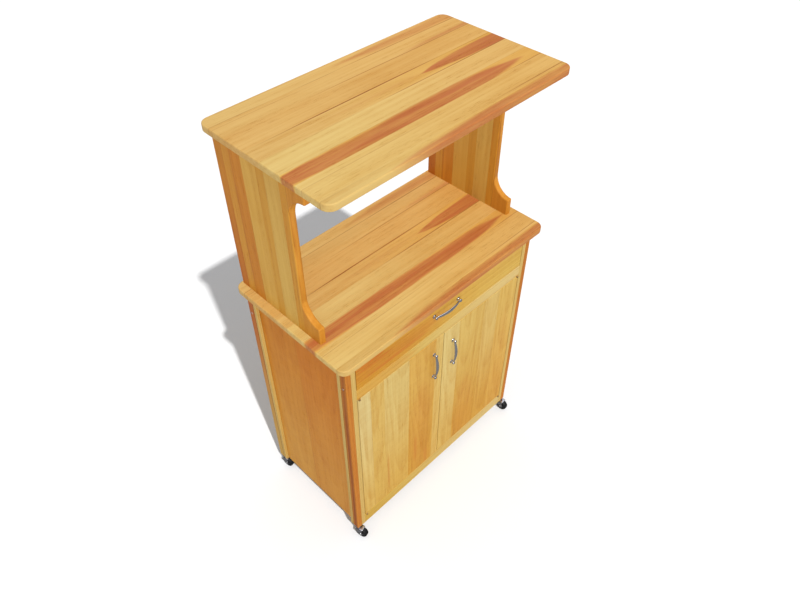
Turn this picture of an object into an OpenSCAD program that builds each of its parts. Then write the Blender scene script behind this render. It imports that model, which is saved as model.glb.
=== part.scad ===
// Rolling butcher block cabinet: a worktop on a cupboard with one drawer and two doors,
// a second board carried above it on two cut-out sides, and four swivel casters.
// Origin at the middle of the footprint on the floor, +X right, the front faces -Y, +Z up.

/* [Boards] */
// Length of the worktop and of the upper top
board_w = 787; // [640:1:950]
// Depth of the worktop and of the upper top, front to back
board_d = 433; // [360:1:520]
// Thickness of the worktop
worktop_t = 19; // [16:0.5:32]
// Thickness of the upper top
upper_t = 19; // [16:0.5:32]
// Radius of the boards' corners in plan
board_corner_r = 25; // [4:1:60]
// Height of the worktop's surface above the floor
worktop_h = 876; // [730:1:1060]

/* [Hutch] */
// Clear height between the worktop and the upper top
hutch_h = 475; // [330:1:600]
// Thickness of the two hutch sides
hutch_side_t = 19; // [16:0.5:25]
// Set-back of the hutch sides' feet from the worktop's front edge
hutch_foot_setback = 109; // [60:1:140]
// Height of the square foot and of the square head of each side
hutch_foot_h = 52; // [30:1:80]
// Radius of the coves that run from foot and head to the waist
hutch_cove_r = 57.5; // [30:0.5:80]

/* [Cabinet] */
// Overhang of the worktop past the cabinet's front
front_overhang = 25; // [25:0.5:45]
// Overhang of the worktop past the cabinet's back
back_overhang = 8; // [4:0.5:30]
// Overhang of the worktop past each side of the cabinet
side_overhang = 24.5; // [15:0.5:45]
// Height of the cabinet's underside above the floor
caster_h = 50; // [49:0.5:80]
// Width of a corner post across the front
post_w = 18; // [16:0.5:30]
// Depth of a corner post along the side
post_d = 23; // [19:0.5:32]
// Width of the pale strip beside each post on the cabinet's sides
side_stile_w = 11.5; // [9:0.5:25]
// Width of the pale stile beside each front post
front_stile_w = 15; // [10:0.5:40]
// Thickness of the rails, the front stiles, the drawer front and the doors
front_t = 19; // [16:0.5:25]
// Height of the rail between the drawer and the doors
mid_rail_h = 39; // [30:0.5:60]
// Height of the rail under the doors
bottom_rail_h = 47; // [30:0.5:70]
// Height of the drawer's opening, from the middle rail to the worktop
drawer_opening_h = 119; // [95:0.5:170]
// Thickness of the two side panels
side_panel_t = 12; // [10:0.5:16]
// Depth that the side panels lie behind the posts' outer faces
side_recess = 10; // [4:0.5:12]
// Depth of the rebate in the side stiles that takes a side panel
rebate_d = 5; // [3:0.5:7]
// Thickness of the back panel
back_panel_t = 5; // [3:0.5:9]
// Thickness of the two back rails
back_rail_t = 15; // [12:0.5:22]
// Height of the upper back rail
back_rail_h = 110; // [95:1:150]
// Thickness of the cabinet's floor
floor_t = 12; // [9:0.5:19]
// Distance from the top of the bottom rail down to the cabinet's floor
floor_drop = 2; // [1:0.5:8]
// Depth of the groove in the bottom rail that takes the floor
floor_groove_d = 6; // [4:0.5:9]
// Width of the cleats that hold the worktop
cleat_w = 25; // [20:1:40]
// Height of the cleats and of the cross rail behind the drawer front
cleat_h = 20; // [14:1:25]
// Depth of the cross rail behind the drawer front
top_rail_d = 50; // [40:1:80]

/* [Shelf] */
// Height of the shelf's underside above the floor
shelf_z = 390; // [300:1:470]
// Thickness of the shelf
shelf_t = 16; // [12:0.5:22]
// Set-back of the shelf's front edge from the cabinet's front
shelf_setback = 61; // [45:1:120]
// Gap at each end of the shelf
shelf_gap = 2; // [1:0.5:4]
// Diameter of the shelf pins
pin_d = 5; // [4:0.5:7]
// Length of a shelf pin that stands out of the side panel
pin_out = 9; // [7:0.5:12]
// Length of a shelf pin inside the side panel
pin_in = 8; // [6:0.5:9]
// Distance between the pin holes
pin_pitch = 32; // [25:1:40]
// Distance of the front pins behind the front frame
pin_front = 70; // [50:1:110]
// Distance of the back pins in front of the back rails
pin_back = 60; // [40:1:90]

/* [Drawer] */
// Thickness of the drawer's sides and back
drawer_side_t = 12; // [9:0.5:15]
// Thickness of the drawer's bottom
drawer_bottom_t = 5; // [3:0.5:8]
// Height of the drawer's bottom above the lower edge of the sides
drawer_bottom_z = 8; // [5:0.5:12]
// Depth of the grooves that take the drawer's bottom
drawer_groove_d = 6; // [4:0.5:8]
// Gap between the drawer's box and the front stiles
drawer_box_gap = 2; // [1:0.5:4]
// Height of the drawer's box above the middle rail
drawer_lift = 2; // [1:0.5:4]
// Gap between the drawer's sides and the cleats above them
kicker_gap = 5; // [3:0.5:10]
// Gap behind the drawer's box
drawer_back_gap = 6; // [4:1:40]
// Thickness of the runners' ledges
ledge_h = 18; // [12:1:22]
// Width that the ledges reach under the drawer
ledge_in = 19; // [14:1:30]
// Height of the runners' guides above the ledges
guide_h = 34; // [20:1:45]
// Width of the stop block on the drawer's back
stop_w = 50; // [30:1:80]
// Thickness of the stop block
stop_t = 12.5; // [9:0.5:20]
// Height of the stop block
stop_h = 60; // [45:1:62]
// Gap between the stop block and the worktop
stop_gap = 5; // [3:0.5:8]

/* [Fronts] */
// Gap round the drawer front and the doors
front_gap = 2; // [1.5:0.5:4]
// Gap between the drawer front and the worktop
drawer_top_gap = 3; // [2:0.5:6]
// Gap between the two doors
door_mid_gap = 2.5; // [2:0.5:4]
// Distance from the worktop's underside down to the drawer's pull
drawer_pull_drop = 56; // [40:1:80]
// Distance from a door's top edge down to the middle of its pull
door_pull_drop = 109; // [75:1:160]
// Distance from a door's free edge to the middle of its pull
door_pull_edge = 39; // [20:1:70]

/* [Pulls] */
// Distance between a pull's screws
pull_pitch = 96; // [64:1:128]
// Distance that a pull stands out of the front, less than the worktop's overhang
pull_out = 19; // [18:0.5:24.5]
// Diameter of the bow
bow_d = 8; // [6:0.5:9]
// Height of the bow's ends above the front
foot_h = 7; // [6:0.5:9]
// Diameter of the feet where they meet the front
foot_base_d = 13; // [11:0.5:16]
// Diameter of the feet's necks
foot_neck_d = 8.4; // [7:0.1:10]
// Diameter of the knuckles that the bow springs from
knuckle_d = 10.4; // [9.6:0.1:12]
// Height of a knuckle above the bow's end
knuckle_h = 5.6; // [5:0.1:7]

/* [Hinges and catch] */
// Distance of a hinge's axis in from the door's edge
hinge_in = 5; // [5:0.5:8]
// Distance of a hinge's axis in front of the door
hinge_out = 1.5; // [1:0.1:2]
// Thickness of a hinge leaf
leaf_t = 2.4; // [2:0.1:3]
// Length of a hinge leaf
leaf_l = 45; // [35:1:60]
// Width of a hinge leaf
leaf_w = 10; // [8:0.5:12]
// Distance of a hinge leaf behind the door's front
leaf_setback = 2.5; // [2:0.5:5]
// Diameter of the eye that turns on the pin
eye_d = 7; // [6.4:0.1:8]
// Width of the neck between the eye and the leaf
neck_w = 6; // [5:0.1:6]
// Diameter of a hinge's pin
hinge_pin_d = 3.5; // [2.5:0.1:4]
// Depth of a leaf's mortise in the rail
rail_mortise = 2; // [1.4:0.1:2.4]
// Gap between the two leaves of a hinge
leaf_gap = 0.3; // [0.2:0.1:0.6]
// Width of the double catch behind the middle rail
catch_w = 48; // [40:1:60]
// Depth of the catch, front to back
catch_d = 15; // [12:0.5:20]
// Distance that the catch hangs below the rail
catch_drop = 18; // [14:0.5:22]
// Height of the catch on the back of the rail
catch_base_h = 14; // [10:0.5:20]
// Width of the steel plate on each door
strike_w = 16; // [12:1:18]
// Height of the steel plates
strike_h = 12; // [10:1:16]
// Distance of the steel plates from the doors' free edges
strike_in = 4; // [2:0.5:6]
// Distance of the steel plates from the doors' top edges
strike_drop = 2; // [1:0.5:3]
// Thickness of the steel plates
strike_t = 1.2; // [0.8:0.1:2]
// Gap between the catch and its plates
catch_gap = 0.4; // [0.3:0.1:0.8]

/* [Casters] */
// Diameter of the wheels
wheel_d = 40; // [32:1:44]
// Width of the wheels
wheel_w = 18; // [12:0.5:20]
// Chamfer on a wheel's shoulders
wheel_ease = 2.5; // [1:0.5:4]
// Thickness of a wheel's rim, from the tread to the dish
tread_t = 5; // [4.5:0.5:7]
// Wall of a wheel's hub
hub_wall = 3; // [2:0.5:4]
// Depth of the dish in each face of a wheel
wheel_dish = 1.5; // [0.5:0.5:3]
// Distance of a wheel's axle from its swivel axis
trail = 15.5; // [12:0.5:20]
// Direction of each caster, seen from above: front left and right, back left and right
caster_turn = [-76, -86, -82, -78]; // [-180:1:180]
// Gap between a wheel and the fork's cheeks
cheek_gap = 1; // [0.5:0.1:2]
// Thickness of the fork's cheeks and hood
cheek_t = 1.6; // [1.2:0.1:2.5]
// Gap between a wheel's tread and the hood
hood_gap = 1.8; // [1:0.1:3]
// How far the hood reaches below the axle on the stem's side, in degrees
hood_back = 12; // [0:1:25]
// How far the hood reaches past the top of the wheel, in degrees
hood_front = 27; // [0:1:60]
// Diameter of the round lug at the axle
lug_d = 15; // [11:0.5:18]
// Diameter of the axles
axle_d = 5; // [4:0.5:6]
// Diameter of the axles' rivet heads
rivet_d = 8; // [7:0.5:10]
// Thickness of the rivet heads
rivet_t = 1.2; // [0.8:0.1:2]
// Diameter of the swivel collar
collar_d = 18; // [15:0.5:20]
// Diameter of the stems
stem_d = 8; // [6:0.5:9]
// Length of the stems above the collar
stem_l = 32; // [25:1:45]
// Wall of the sockets in the posts
socket_wall = 1.45; // [1:0.05:2]
// Diameter of the sockets' flanges
flange_d = 16; // [14:0.5:17.5]
// Thickness of the flanges
flange_t = 1.2; // [0.8:0.1:2]

/* [Fasteners] */
// Distance from the worktop's underside down to the screws in the posts
post_screw_drop = 91; // [75:1:93]
// Diameter of the wood screws
screw_d = 4; // [3:0.1:5]
// Length of the screws in the posts, under the head
post_screw_l = 28; // [24:1:32]
// Length of the screws in the cleats, under the head
cleat_screw_l = 31; // [26:1:33]
// Distance of the cleats' screws from the side panels
cleat_screw_in = 7; // [6:0.5:9]
// Distance of the cleats' screws from the cleats' ends
cleat_screw_end = 42; // [20:1:60]
// Diameter of the screws' heads
head_d = 8; // [7:0.5:10]
// Thickness of the screws' heads
head_t = 2.2; // [1.6:0.1:3]
// Depth that the heads in the posts are let in
head_sink = 1; // [0.5:0.1:1.6]
// Length of a pull's screws inside the pull
pull_screw_in = 6; // [4:0.5:8]
// Diameter of the hutch dowels
dowel_d = 8; // [6:1:10]
// Length of the hutch dowels
dowel_l = 30; // [24:1:40]
// Length of a dowel inside a board
dowel_in = 12; // [8:0.5:13]
// Distance of the end dowels from the front and back of a foot
dowel_inset = 26; // [16:1:40]

/* [Clearances] */
// Radial clearance of a shaft that turns
run_fit = 0.05; // [0.02:0.01:0.1]
// Radial clearance of a screw, a dowel or a pin in its hole
hole_fit = 0.08; // [0.05:0.01:0.15]
// Clearance of a panel in its groove
groove_fit = 0.2; // [0.1:0.05:0.4]
// Clearance of a sliding face
slide_gap = 0.3; // [0.2:0.05:0.6]

/* [Hidden] */
$fn = 48;
over = 1;                                            // how far a cutter runs past a face
tip_gap = 0.5;                                       // space past the end of a pin or a screw

// Levels
under_z = worktop_h - worktop_t;                     // underside of the worktop
cab_h = under_z - caster_h;
mid_top_z = under_z - drawer_opening_h;
mid_low_z = mid_top_z - mid_rail_h;
bottom_top_z = caster_h + bottom_rail_h;
floor_top_z = bottom_top_z - floor_drop;
upper_z = worktop_h + hutch_h;                       // underside of the upper top

// Width: half sizes from the middle of the cabinet
cab_x = board_w / 2 - side_overhang;                 // outer face of the posts
post_x = cab_x - post_w;                             // inner face of the posts
open_x = post_x - front_stile_w;                     // edge of the openings in the front
panel_out_x = cab_x - side_recess;
panel_in_x = panel_out_x - side_panel_t;

// Depth, front to back
front_y = -board_d / 2 + front_overhang;
back_y = board_d / 2 - back_overhang;
inner_y = front_y + front_t;                         // back of the front frame
post_back_y = front_y + post_d;
stile_back_y = post_back_y + side_stile_w;
back_post_y = back_y - post_d;
back_stile_y = back_post_y - side_stile_w;
back_panel_y = back_y - back_panel_t;
back_rail_y = back_panel_y - back_rail_t;
post_mid_x = cab_x - post_w / 2;                     // a caster's stem runs up the post's middle
front_post_mid_y = front_y + post_d / 2;
back_post_mid_y = back_y - post_d / 2;
back_low_rail_h = floor_top_z - floor_t - caster_h;
post_screw_z = under_z - post_screw_drop;
pin_ys = [inner_y + pin_front, back_rail_y - pin_back];

// Worktop fixings
top_rail_y = inner_y + slide_gap;
top_rail_back_y = top_rail_y + top_rail_d;
cleat_in_x = panel_in_x - cleat_w;
cleat_low_z = under_z - cleat_h;
cleat_screw_x = panel_in_x - cleat_screw_in;
cleat_screws = [
    for (x = [-1, 1] * cleat_screw_x, y = [top_rail_back_y + cleat_screw_end,
                                           back_rail_y - cleat_screw_end]) [x, y],
    for (x = [-1, 1] * cleat_screw_x / 2) [x, top_rail_y + top_rail_d / 2],
];

// Hutch sides
hutch_y = -board_d / 2 + hutch_foot_setback;
hutch_d = back_y - hutch_y;
hutch_x = cab_x - hutch_side_t;
cove_low_z = hutch_foot_h + hutch_cove_r;
cove_high_z = hutch_h - cove_low_z;
dowel_ys = [hutch_y + dowel_inset, hutch_y + hutch_d / 2, back_y - dowel_inset];

// Drawer
box_x = open_x - drawer_box_gap;                     // outer face of the drawer's sides
box_in_x = box_x - drawer_side_t;
box_z = mid_top_z + drawer_lift;
box_h = cleat_low_z - kicker_gap - box_z;
box_back_y = back_rail_y - drawer_back_gap;
drawer_floor_z = box_z + drawer_bottom_z;
drawer_back_z = drawer_floor_z + drawer_bottom_t;
ledge_top_z = box_z - slide_gap;
drawer_front_top_z = under_z - drawer_top_gap;
drawer_pull_z = under_z - drawer_pull_drop;

// Doors
door_out_x = open_x - front_gap;
door_in_x = door_mid_gap / 2;
door_low_z = bottom_top_z + front_gap;
door_top_z = mid_low_z - front_gap;
door_pull_x = door_in_x + door_pull_edge;
door_pull_z = door_top_z - door_pull_drop;
door_mid_z = (bottom_top_z + mid_low_z) / 2;
hinge_x = door_out_x - hinge_in;
hinge_y = front_y - hinge_out;
frame_leaf_z = mid_low_z + rail_mortise - leaf_t;    // lower face of the upper frame leaf
door_leaf_z = frame_leaf_z - leaf_gap - leaf_t;
leaf_x = hinge_x + neck_w / 2 - leaf_l;
leaf_y = front_y + leaf_setback;

// Pulls
bow_end_y = foot_h;
bow_rise = pull_out - bow_d / 2 - bow_end_y;
bow_r = (pow(pull_pitch / 2, 2) + pow(bow_rise, 2)) / (2 * bow_rise);
bow_half_angle = asin(pull_pitch / 2 / bow_r);

// Casters
wheel_r = wheel_d / 2;
cheek_in = wheel_w / 2 + cheek_gap;
cheek_out = cheek_in + cheek_t;
hood_in_r = wheel_r + hood_gap;
hood_r = hood_in_r + cheek_t;
collar_top_z = caster_h - flange_t - slide_gap;
collar_overlap = 6;                                  // the collar starts inside the hood
collar_low_z = wheel_d - collar_overlap;
socket_r = stem_d / 2 + run_fit + socket_wall;
socket_l = stem_l + 3 * tip_gap;
caster_places = [
    [-post_mid_x, front_post_mid_y], [post_mid_x, front_post_mid_y],
    [-post_mid_x, back_post_mid_y], [post_mid_x, back_post_mid_y],
];

// Colours
block_wood = [0.86, 0.69, 0.41];
pale_wood = [0.85, 0.73, 0.45];
red_wood = [0.66, 0.37, 0.20];
panel_wood = [0.72, 0.49, 0.26];
side_wood = [0.76, 0.59, 0.31];
plain_wood = [0.84, 0.72, 0.52];
bright_steel = [0.78, 0.79, 0.82];
dull_steel = [0.55, 0.55, 0.57];
black_rubber = [0.07, 0.07, 0.08];
brown_plastic = [0.30, 0.20, 0.13];

// ---- Helpers

// A block between two corners
module block(low, high) {
    translate(low) cube(high - low);
}

// A round bar from one point, along +X, +Y or +Z
module bar_x(start, r, l) {
    translate(start) rotate([0, 90, 0]) cylinder(h = l, r = r);
}
module bar_y(start, r, l) {
    translate(start) rotate([-90, 0, 0]) cylinder(h = l, r = r);
}
module bar_z(start, r, l) {
    translate(start) cylinder(h = l, r = r);
}

// Everything with a hand is drawn on the right; side -1 mirrors it to the left
module on_side(side) {
    mirror([side < 0 ? 1 : 0, 0, 0]) children();
}

// The lower of a pair that mirrors about the middle of the doors' height
module lower_copy() {
    translate([0, 0, 2 * door_mid_z]) mirror([0, 0, 1]) children();
}

// ---- Boards and hutch

module rounded_board(t) {
    r = board_corner_r;
    linear_extrude(t) {
        square([board_w - 2 * r, board_d], center = true);
        square([board_w, board_d - 2 * r], center = true);
        for (x = [-1, 1], y = [-1, 1])
            translate([x * (board_w / 2 - r), y * (board_d / 2 - r)]) circle(r);
    }
}

// The dowels at one height, with their lower ends at z, on both sides
module dowel_rows(z, grow = 0) {
    for (x = [-1, 1], y = dowel_ys)
        bar_z([x * (cab_x - hutch_side_t / 2), y, z - grow], dowel_d / 2 + grow, dowel_l + 2 * grow);
}

module all_dowels(grow = 0) {
    dowel_rows(worktop_h - dowel_in, grow);
    dowel_rows(upper_z + dowel_in - dowel_l, grow);
}

module upper_top() {
    color(block_wood) difference() {
        translate([0, 0, upper_z]) rounded_board(upper_t);
        all_dowels(hole_fit);
    }
}

module worktop() {
    color(block_wood) difference() {
        translate([0, 0, under_z]) rounded_board(worktop_t);
        all_dowels(hole_fit);
        for (p = cleat_screws)
            bar_z([p[0], p[1], cleat_low_z], screw_d / 2 + hole_fit, cleat_screw_l + tip_gap);
    }
}

// Outline of a hutch side: x is the depth from its front, y the height
module hutch_outline() {
    difference() {
        square([hutch_d, hutch_h]);
        translate([-over, cove_low_z]) square([hutch_cove_r + over, cove_high_z - cove_low_z]);
        for (z = [cove_low_z, cove_high_z]) translate([0, z]) circle(hutch_cove_r);
    }
}

module hutch_side(side) {
    color(side_wood) difference() {
        on_side(side) translate([hutch_x, hutch_y, worktop_h])
            rotate([90, 0, 90]) linear_extrude(hutch_side_t) hutch_outline();
        all_dowels(hole_fit);
    }
}

module hutch_dowels() {
    color(plain_wood) all_dowels();
}

// ---- Carcass

// Screws through the posts into the front stiles and the upper back rail
module post_screw_holes() {
    for (side = [-1, 1], y = [front_post_mid_y, back_post_mid_y]) on_side(side) {
        bar_x([cab_x - head_sink - post_screw_l - tip_gap, y, post_screw_z],
              screw_d / 2 + hole_fit, post_screw_l + tip_gap);
        bar_x([cab_x - head_sink, y, post_screw_z], head_d / 2 + hole_fit, head_sink + over);
    }
}

module post_screws() {
    color(bright_steel)
        for (side = [-1, 1], y = [front_post_mid_y, back_post_mid_y]) on_side(side) {
            bar_x([cab_x - head_sink - post_screw_l, y, post_screw_z], screw_d / 2, post_screw_l);
            bar_x([cab_x - head_sink, y, post_screw_z], head_d / 2, head_t);
        }
}

module post(side, low_y, mid_y) {
    color(red_wood) difference() {
        on_side(side) block([post_x, low_y, caster_h], [cab_x, low_y + post_d, under_z]);
        on_side(side) bar_z([post_mid_x, mid_y, caster_h - over],
                            socket_r + hole_fit, socket_l + tip_gap + over);
        post_screw_holes();
    }
}

module side_stiles(side) {
    color(pale_wood) on_side(side) difference() {
        for (y = [post_back_y, back_stile_y])
            block([panel_in_x, y, caster_h], [cab_x, y + side_stile_w, under_z]);
        block([panel_in_x - over, stile_back_y - rebate_d, caster_h - over],
              [panel_out_x + groove_fit, back_stile_y + rebate_d, under_z + over]);
    }
}

// Holes for the shelf pins: five heights, two in each side panel at each height
module shelf_pin_holes() {
    for (side = [-1, 1], y = pin_ys, step = [-2:2])
        on_side(side) bar_x([panel_in_x - over, y, shelf_z - pin_d / 2 + step * pin_pitch],
                            pin_d / 2 + hole_fit, pin_in + tip_gap + over);
}

module shelf_pins() {
    color(bright_steel)
        for (side = [-1, 1], y = pin_ys)
            on_side(side) bar_x([panel_in_x - pin_out, y, shelf_z - pin_d / 2],
                                pin_d / 2, pin_out + pin_in);
}

module side_panel(side) {
    edge = rebate_d - groove_fit;
    color(panel_wood) difference() {
        on_side(side) block([panel_in_x, stile_back_y - edge, caster_h],
                            [panel_out_x, back_stile_y + edge, under_z]);
        shelf_pin_holes();
    }
}

module front_stile(side) {
    color(pale_wood) difference() {
        on_side(side) block([open_x, front_y, caster_h], [post_x, inner_y, under_z]);
        post_screw_holes();
    }
}

module mid_rail() {
    color(pale_wood) difference() {
        block([-open_x, front_y, mid_low_z], [open_x, inner_y, mid_top_z]);
        for (side = [-1, 1]) on_side(side) leaf_mortise(mid_low_z - over, mid_low_z + rail_mortise);
    }
}

module bottom_rail() {
    color(pale_wood) difference() {
        block([-open_x, front_y, caster_h], [open_x, inner_y, bottom_top_z]);
        for (side = [-1, 1]) on_side(side) lower_copy()
            leaf_mortise(mid_low_z - over, mid_low_z + rail_mortise);
        block([-open_x - over, inner_y - floor_groove_d, floor_top_z - floor_t - groove_fit],
              [open_x + over, inner_y + over, floor_top_z + groove_fit]);
    }
}

module cabinet_floor() {
    color(plain_wood) {
        block([-panel_in_x + groove_fit, inner_y, floor_top_z - floor_t],
              [panel_in_x - groove_fit, back_panel_y, floor_top_z]);
        block([-open_x + groove_fit, inner_y - floor_groove_d + groove_fit, floor_top_z - floor_t],
              [open_x - groove_fit, inner_y, floor_top_z]);
    }
}

module back_rails() {
    color(plain_wood) difference() {
        union() {
            block([-post_x, back_rail_y, under_z - back_rail_h], [post_x, back_panel_y, under_z]);
            block([-post_x, back_rail_y, caster_h],
                  [post_x, back_panel_y, caster_h + back_low_rail_h]);
        }
        post_screw_holes();
    }
}

module back_panel() {
    color(plain_wood) block([-post_x, back_panel_y, caster_h], [post_x, back_y, under_z]);
}

module cleat_screw_holes() {
    for (p = cleat_screws)
        bar_z([p[0], p[1], cleat_low_z - over], screw_d / 2 + hole_fit, cleat_h + 2 * over);
}

module worktop_cleats() {
    color(plain_wood) difference() {
        for (side = [-1, 1]) on_side(side)
            block([cleat_in_x, top_rail_back_y, cleat_low_z], [panel_in_x, back_rail_y, under_z]);
        cleat_screw_holes();
    }
}

module top_rail() {
    color(plain_wood) difference() {
        block([-panel_in_x, top_rail_y, cleat_low_z], [panel_in_x, top_rail_back_y, under_z]);
        cleat_screw_holes();
    }
}

module worktop_screws() {
    color(dull_steel) for (p = cleat_screws) {
        bar_z([p[0], p[1], cleat_low_z], screw_d / 2, cleat_screw_l);
        bar_z([p[0], p[1], cleat_low_z - head_t], head_d / 2, head_t);
    }
}

module drawer_runners() {
    color(plain_wood) for (side = [-1, 1]) on_side(side) {
        block([box_x - ledge_in, inner_y, ledge_top_z - ledge_h],
              [panel_in_x, back_rail_y, ledge_top_z]);
        block([box_x + slide_gap, inner_y, ledge_top_z - ledge_h],
              [panel_in_x, back_rail_y, ledge_top_z + guide_h]);
    }
}

module shelf() {
    color(plain_wood) block([-panel_in_x + shelf_gap, front_y + shelf_setback, shelf_z],
                            [panel_in_x - shelf_gap, back_panel_y - shelf_gap, shelf_z + shelf_t]);
}

module door_catch() {
    color(brown_plastic) {
        block([-catch_w / 2, inner_y, mid_low_z + 1],
              [catch_w / 2, inner_y + catch_d, mid_low_z + catch_base_h]);
        block([-catch_w / 2, inner_y + strike_t + catch_gap, mid_low_z - catch_drop],
              [catch_w / 2, inner_y + catch_d, mid_low_z + catch_base_h]);
    }
}

// ---- Drawer

module drawer_front() {
    color(block_wood) difference() {
        block([-door_out_x, front_y, box_z], [door_out_x, inner_y, drawer_front_top_z]);
        block([-box_in_x - drawer_groove_d, inner_y - drawer_groove_d, drawer_floor_z - groove_fit],
              [box_in_x + drawer_groove_d, inner_y + over, drawer_back_z + groove_fit]);
        drawer_pull_place() pull_screw_holes();
    }
}

module drawer_side(side) {
    color(plain_wood) on_side(side) difference() {
        block([box_in_x, inner_y, box_z], [box_x, box_back_y, box_z + box_h]);
        block([box_in_x - over, inner_y - over, drawer_floor_z - groove_fit],
              [box_in_x + drawer_groove_d, box_back_y + over, drawer_back_z + groove_fit]);
    }
}

module drawer_back() {
    color(plain_wood) block([-box_in_x, box_back_y - drawer_side_t, drawer_back_z + groove_fit],
                            [box_in_x, box_back_y, box_z + box_h]);
}

module drawer_bottom() {
    edge = drawer_groove_d - groove_fit;
    color(plain_wood) block([-box_in_x - edge, inner_y - edge, drawer_floor_z],
                            [box_in_x + edge, box_back_y, drawer_back_z]);
}

module drawer_stop() {
    low_y = box_back_y - drawer_side_t - stop_t;
    color(plain_wood) block([-stop_w / 2, low_y, under_z - stop_gap - stop_h],
                            [stop_w / 2, low_y + stop_t, under_z - stop_gap]);
}

// ---- Pulls: drawn along X on a front face at y = 0, standing out towards -Y

module pull_bow() {
    translate([0, bow_r - pull_out + bow_d / 2, 0]) rotate([0, 0, -90 - bow_half_angle])
        rotate_extrude(angle = 2 * bow_half_angle, $fn = 96) translate([bow_r, 0]) circle(d = bow_d);
}

// A turned foot: a flared base, a waist, and a knuckle with a low crown
module pull_foot() {
    base_r = foot_base_d / 2;
    neck_r = foot_neck_d / 2;
    knuckle_r = knuckle_d / 2;
    top = foot_h + knuckle_h;
    rotate([90, 0, 0]) rotate_extrude() polygon([
        [0, 0], [base_r, 0], [base_r, 1], [neck_r + 0.6, foot_h / 2], [neck_r, foot_h - 1],
        [neck_r + 0.4, foot_h + 1], [knuckle_r, top - 3.2], [knuckle_r, top - 2.2],
        [knuckle_r - 0.8, top - 0.7], [0, top],
    ]);
}

module pull() {
    color(bright_steel) difference() {
        union() {
            pull_bow();
            for (x = [-1, 1] * pull_pitch / 2) translate([x, 0, 0]) pull_foot();
        }
        for (x = [-1, 1] * pull_pitch / 2)
            bar_y([x, -pull_screw_in - tip_gap, 0], screw_d / 2 + hole_fit,
                  pull_screw_in + tip_gap + over);
    }
}

module pull_screw_holes() {
    for (x = [-1, 1] * pull_pitch / 2)
        bar_y([x, -over, 0], screw_d / 2 + hole_fit, front_t + 2 * over);
}

module pull_screws() {
    color(dull_steel) for (x = [-1, 1] * pull_pitch / 2) {
        bar_y([x, -pull_screw_in, 0], screw_d / 2, pull_screw_in + front_t);
        bar_y([x, front_t, 0], head_d / 2, head_t);
    }
}

module drawer_pull_place() {
    translate([0, front_y, drawer_pull_z]) children();
}

module door_pull_place(side) {
    translate([side * door_pull_x, front_y, door_pull_z]) rotate([0, 90, 0]) children();
}

// ---- Doors and hinges

// Cutter for a hinge leaf, from z0 to z1
module leaf_mortise(z0, z1) {
    block([hinge_x - neck_w / 2 - groove_fit, front_y - over, z0],
          [hinge_x + neck_w / 2 + groove_fit, leaf_y + leaf_w + groove_fit, z1]);
    block([leaf_x - groove_fit, leaf_y - groove_fit, z0],
          [hinge_x + neck_w / 2 + groove_fit, leaf_y + leaf_w + groove_fit, z1]);
}

module leaf(z) {
    translate([0, 0, z]) linear_extrude(leaf_t) {
        translate([hinge_x, hinge_y]) circle(d = eye_d);
        translate([hinge_x - neck_w / 2, hinge_y]) square([neck_w, leaf_y + leaf_w - hinge_y]);
        translate([leaf_x, leaf_y]) square([leaf_l, leaf_w]);
    }
}

module frame_leaf() {
    leaf(frame_leaf_z);
    bar_z([hinge_x, hinge_y, door_leaf_z + leaf_gap], hinge_pin_d / 2, leaf_t + leaf_t / 2);
}

module door_leaf() {
    difference() {
        leaf(door_leaf_z);
        bar_z([hinge_x, hinge_y, door_leaf_z - over], hinge_pin_d / 2 + run_fit, leaf_t + 2 * over);
    }
}

module hinge_frame_leaves() {
    color(dull_steel) for (side = [-1, 1]) on_side(side) {
        frame_leaf();
        lower_copy() frame_leaf();
    }
}

module door_hinge_leaves(side) {
    color(dull_steel) on_side(side) {
        door_leaf();
        lower_copy() door_leaf();
    }
}

module door(side) {
    color(pale_wood) difference() {
        on_side(side) block([door_in_x, front_y, door_low_z], [door_out_x, inner_y, door_top_z]);
        on_side(side) leaf_mortise(door_leaf_z, door_top_z + over);
        on_side(side) lower_copy() leaf_mortise(door_leaf_z, door_top_z + over);
        door_pull_place(side) pull_screw_holes();
    }
}

module door_strike(side) {
    color(dull_steel) on_side(side)
        block([door_in_x + strike_in, inner_y, door_top_z - strike_drop - strike_h],
              [door_in_x + strike_in + strike_w, inner_y + strike_t, door_top_z - strike_drop]);
}

// ---- Casters: drawn with the swivel axis on Z and the wheel towards +X

module caster_place(i) {
    translate([caster_places[i][0], caster_places[i][1], 0]) rotate([0, 0, caster_turn[i]])
        children();
}

// A short bar across the caster, through the wheel's centre
module across(r, half) {
    bar_y([trail, -half, wheel_r], r, 2 * half);
}

module caster_sockets() {
    color(dull_steel) for (p = caster_places) difference() {
        union() {
            bar_z([p[0], p[1], caster_h], socket_r, socket_l);
            bar_z([p[0], p[1], caster_h - flange_t], flange_d / 2, flange_t);
        }
        bar_z([p[0], p[1], caster_h - flange_t - over], stem_d / 2 + run_fit,
              flange_t + socket_l + 2 * over);
    }
}

// Outline of the hood and cheeks round the wheel's centre: x along the trail, y up
module fork_outline() {
    reach = 2 * hood_r;
    circle(d = lug_d);
    intersection() {
        circle(hood_r);
        polygon([[0, 0], [-reach, -reach * tan(hood_back)], [-reach, reach],
                 [reach * tan(hood_front), reach]]);
    }
}

module caster_fork(i) {
    color(bright_steel) caster_place(i) difference() {
        union() {
            translate([trail, cheek_out, wheel_r]) rotate([90, 0, 0])
                linear_extrude(2 * cheek_out) fork_outline();
            bar_z([0, 0, collar_low_z], collar_d / 2, collar_top_z - collar_low_z);
            bar_z([0, 0, collar_top_z - over], stem_d / 2, stem_l + over);
        }
        across(hood_in_r, cheek_in);
        across(axle_d / 2 + hole_fit, cheek_out + over);
    }
}

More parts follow.
